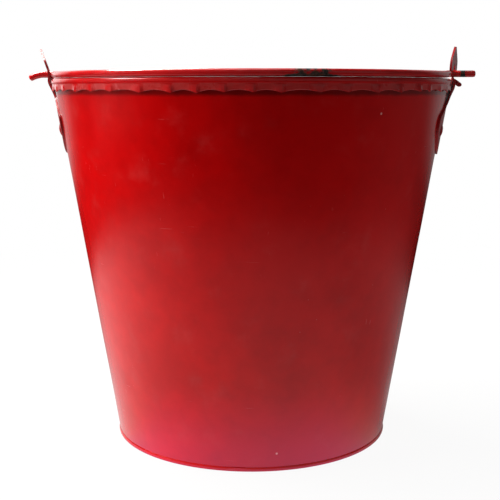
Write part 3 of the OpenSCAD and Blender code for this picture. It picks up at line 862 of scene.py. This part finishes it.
def bailLine():
    # from the left end, which droops, through its bend and the arch to the right bend and end
    look, straight, endR = bailLook, bailLook["endStraight"], bailLook["endBendR"]
    endTurn, first = math.asin((look["leftEnd"] - straight) / endR), math.pi / 2 - bendTurn
    droop = evenly(endTurn, 0, look["endSteps"])[:-1]
    line = [(-bendAt - straight - endR * math.sin(a), 0, -endR * (1 - math.cos(a))) for a in droop]
    line += [(-bendAt - out, 0, 0) for out in evenly(straight, 0, look["straightSteps"])[:-1]]
    turns = evenly(math.pi / 2, math.pi / 2 + bendTurn, look["bendSteps"])
    bend = [(bendR * math.cos(a), bendR * math.sin(a) - bendR) for a in turns]
    line += [(-bendAt - x, y, 0) for x, y in bend]
    line += [(*polar(bailR, a), 0) for a in evenly(first - math.pi, -first, look["archSteps"])[1:-1]]
    line += [(bendAt + x, y, 0) for x, y in reversed(bend)]
    line += [(bendAt + out, 0, 0) for out in evenly(0, look["rightEnd"], look["endSteps"])[1:]]
    return [Vector(p) for p in line]


def sweep(line, radius, sides):
    # rings of a round rod along a line, with softly rounded cut ends
    rings, points, last = [], [], len(line) - 1
    for i, p in enumerate(line):
        along = (line[min(i + 1, last)] - line[max(i - 1, 0)]).normalized()
        across = along.cross(Vector((0, 0, 1))).normalized()
        over = across.cross(along)
        if i == 0:
            rings += [(p + along * back * radius, across, over, share) for share, back in bailLook["chamfer"]]
        elif i == last:
            ends = reversed(bailLook["chamfer"])
            rings += [(p - along * back * radius, across, over, share) for share, back in ends]
        elif min((p - line[0]).length, (p - line[last]).length) > radius:
            rings.append((p, across, over, 1.0))
    for p, across, over, share in rings:
        for a in evenly(0, 2 * math.pi, sides)[:-1]:
            points.append(p + (across * math.cos(a) + over * math.sin(a)) * radius * max(share, 0.001))
    return points, len(rings)


def restingLift(x, y):
    # how far the real rod, a little bent and loose in its eyes, lies off its middle position here
    away = math.degrees(math.atan2(x, max(-y, 0)))
    lying = bucket["height"] + bucket["rod"] + bailLook["clear"]
    lying += bailLook["leftRise"] * smooth(*bailLook["leftRiseOver"], -away)
    lying += bailLook["rightRise"] * smooth(*bailLook["rightRiseOver"], away)
    return lying - (hingeZ + min(y, 0) * math.sin(restDip))


def rodWearAndShade(p, below):
    look, away = bailLook, math.degrees(math.atan2(p.x, -p.y))
    held = smooth(*look["heldFrom"], away) * (1 - smooth(*look["heldTo"], away))
    # worn where it runs in the eyes; on the right this darkening also stands in for the ear's shadow, a
    # painted shade
    inEye = math.exp(-((abs(p.x) - bendAt - look["eyeAt"]) / look["eyeWide"]) ** 2)
    inEye *= 1 if p.x > 0 else look["leftEye"]
    under = look["under"] * smooth(0, 1, below) if abs(p.x) < bendAt - look["underEnds"] else 0
    return min(1.0, look["wear"] + look["held"] * held + look["inEye"] * inEye + under)


sides = bailLook["sides"]
points, rings = sweep(bailLine(), bucket["rod"], sides)
placed, wear, tip = [], [], Matrix.Rotation(restDip, 3, "X")
for i, p in enumerate(points):
    centre = sum((points[i // sides * sides + k] for k in range(sides)), Vector()) / sides
    rough = 1 + ripple(p.x, p.y, p.z, *bailLook["uneven"]) - bailLook["uneven"][0] / 2
    spot = tip @ (centre + (p - centre) * min(rough, 1.0))
    wear.append(rodWearAndShade(p, (centre.z - p.z) / bucket["rod"]))
    placed.append((spot.x, spot.y, spot.z + hingeZ + restingLift(centre.x, centre.y)))
faces = gridFaces(rings, sides, False, True)
bailRod = pieceFrom("bailRod", placed, faces, "bail_enamel", "bail", wear, 60)
mended(bailRod, 2e-5)
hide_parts("bail")
print("bail done")

# floor, light and camera

studio = {
    "floorTone": (0.90, 0.895, 0.89), "floorFade": (0.10, 0.9), "floorLift": 0.94, "paper": (1.0, 1.0, 1.0),
    # what the gloss sees of the floor: metres from the middle, then its strength in front, left and right
    "sheen": ((0.12, (1.0, 1.05, 0.3)), (0.16, (0.66, 1.05, 0.25)), (0.20, (0.46, 1.0, 0.2)),
              (0.25, (0.34, 1.0, 0.17)), (0.36, (0.26, 1.0, 0.22)), (0.45, (0.18, 1.0, 0.23)),
              (0.53, (0.04, 0.8, 0.17)), (0.60, (0.01, 0.24, 0.12)), (0.68, (0.005, 0.03, 0.08)),
              (5.0, (0.01, 0.03, 0.06))),
    "sheenEnd": 5.0, "sheenLeft": 3.0, "sheenRight": 5.0, "gloss": 0.72,
    "farFloor": (0.05, 0.5, 0.25), "farFrom": (1.0, 2.4),
    # what the floor gives to the rest
    "bounce": ((0.10, 0.98), (0.17, 1.06), (0.26, 1.3), (0.35, 0.94), (0.47, 0.06), (0.80, 0.0)),
    "leftLift": 0.10, "blue": 0.9, "blueNear": (0.11, 0.22), "inFront": (0.3, 0.9),
    "lamps": {
        "keyLamp": {"at": (-1.12, -0.22, 0.42), "towards": (0, 0, 0.14), "size": (0.7, 0.8),
                    "power": 17.2, "tone": (1.0, 0.98, 0.96), "glints": False},
        "topLamp": {"at": (-0.15, 0.10, 1.30), "towards": (0, 0, 0), "size": (0.9, 0.9),
                    "power": 5.6, "tone": (1.0, 1.0, 1.0), "glints": True},
        "sparkLamp": {"at": (-0.45, 0.30, 0.95), "towards": (0, 0, 0.25), "size": (0.9, 0.22),
                      "power": 20.0, "tone": (1.0, 0.97, 0.93), "glints": True},
    },
    # the air: its soft light, and for the gloss a low band of paper in front, left and right
    "surround": 0.23, "frontDark": 0.23, "rightLift": 0.14, "glossSurround": 0.03,
    "horizon": (0.20, 1.3, 0.25), "horizonFoot": (-0.2, 0.0), "horizonTop": (0.45, 0.75),
    "frontWide": 3.0, "aside": (0.02, 0.25), "behind": (0.45, 0.8),
}


def makeFloor():
    mesh = bpy.data.meshes.new("floor")
    mesh.from_pydata([(-8, -8, 0), (8, -8, 0), (8, 8, 0), (-8, 8, 0)], [], [(0, 1, 2, 3)])
    floor = stood("floor", mesh)
    f = Finish("paleFloor")
    f.set(baseColor=studio["floorTone"], roughness=0.7, specular=0.2)
    # far from the bucket the floor turns into plain pale paper
    away = f.node("ShaderNodeVectorMath", {"operation": "LENGTH"}, {0: f.where()}, out=1)
    paper = f.node("ShaderNodeEmission", {}, {"Color": studio["paper"], "Strength": 1.0})
    share = studio["floorLift"] + away.step(*studio["floorFade"]) * (1 - studio["floorLift"])
    seen = f.node("ShaderNodeMixShader", {}, {0: share, 1: Wire(f, f.shader.outputs[0]), 2: paper})
    # the bucket gets soft light from near its foot, and its gloss sees a pool that reaches further
    # on the left (the ramp's green) than in front (red) or on the right (blue)
    across, deep = (way / away for way in f.split(f.where())[:2])
    soft = f.ramped(studio["bounce"], away) * (1 - across * studio["leftLift"])
    end = studio["sheenEnd"]
    stops = [(place / end, tone) for place, tone in studio["sheen"]]
    reach = f.node("ShaderNodeValToRGB", {"stops": stops}, {0: away / end})
    front, left, right = f.split(reach, "Color")
    onLeft = (across * -1.0).clamped() ** studio["sheenLeft"]
    onRight = across.clamped() ** studio["sheenRight"]
    sheen = front + onLeft * (left - front) + onRight * (right - front)
    low, left, right = studio["farFloor"]
    far = (across * -1.0).step(*studio["aside"]) * left + across.step(*studio["aside"]) * right
    sheen = sheen + away.step(*studio["farFrom"]) * (deep.step(*studio["behind"]) * far + low)
    glossy = f.ray("glossy")
    level = soft + glossy * (sheen * studio["gloss"] - soft)
    inFront = (deep * -1.0).step(*studio["inFront"]) * (1 - away.step(*studio["blueNear"]))
    blue = level * (1 + glossy * inFront * studio["blue"])
    colour = f.node("ShaderNodeCombineXYZ", {}, {0: level, 1: level, 2: blue})
    given = f.node("ShaderNodeEmission", {}, {"Color": colour, "Strength": 1.0})
    both = f.node("ShaderNodeMixShader", {}, {0: f.ray("camera"), 1: given, 2: seen})
    f.fill(f.end.inputs["Surface"], both)
    mesh.materials.append(f.material)


def makeLamp(name, look):
    lamp = bpy.data.lights.new(name, "AREA")
    lamp.shape, lamp.size, lamp.size_y = "RECTANGLE", *look["size"]
    lamp.energy, lamp.color = look["power"], look["tone"]
    stand = stood(name, lamp)
    stand.visible_glossy, stand.location = look["glints"], look["at"]
    stand.rotation_euler = (Vector(look["towards"]) - Vector(look["at"])).to_track_quat("-Z", "Y").to_euler()


def makeWorld():
    world = bpy.data.worlds.new("studioAir")
    bpy.context.scene.world = world
    f = Finish("studioAir", "ShaderNodeBackground", world)
    glossy = f.ray("glossy")
    # for the gloss, pale paper stands behind the bucket on both sides, up to a little above the horizon
    towards = f.node("ShaderNodeTexCoord", out=0)  # the direction looked in
    across, deep, up = f.split(towards)
    low, left, right = studio["horizon"]
    onLeft, onRight = (across * -1.0).step(*studio["aside"]), across.step(*studio["aside"])
    behind = deep.step(*studio["behind"]) * (onLeft * left + onRight * right)
    band = behind + (deep * -studio["frontWide"]).clamped() * low
    band = band * up.step(*studio["horizonFoot"]) * (1 - up.step(*studio["horizonTop"]))
    band = band + studio["glossSurround"]
    # the soft light is weaker from the camera's side and stronger from the right
    soft = studio["surround"] - (deep * -1.0).clamped() ** 2.0 * studio["frontDark"]
    soft = soft + across.clamped() ** 2.0 * studio["rightLift"]
    level = soft + glossy * (band - soft)
    air = f.node("ShaderNodeCombineXYZ", {}, {0: level, 1: level, 2: level})
    f.fill(f.shader.inputs["Color"], f.mix(f.ray("camera"), air, studio["paper"]))


makeFloor()
for lampName, lampLook in studio["lamps"].items():
    makeLamp(lampName, lampLook)
makeWorld()
bpy.context.scene.view_settings.view_transform = "Standard"

view = {"distance": 0.7546, "height": 0.2660, "turn": 3.0, "down": 9.39, "yaw": 0.08, "lens": 69.78}
eye = bpy.data.cameras.new("photoView")
eye.lens, eye.sensor_width = view["lens"], 36
camera = stood("photoView", eye)
turn = math.radians(view["turn"])
spot = (view["distance"] * math.sin(turn), -view["distance"] * math.cos(turn), view["height"])
aim = Matrix.Rotation(turn + math.radians(view["yaw"]), 4, "Z")
aim = aim @ Matrix.Rotation(math.radians(90 - view["down"]), 4, "X")
camera.matrix_world = Matrix.Translation(spot) @ aim
bpy.context.scene.camera = camera
print("studio ready")
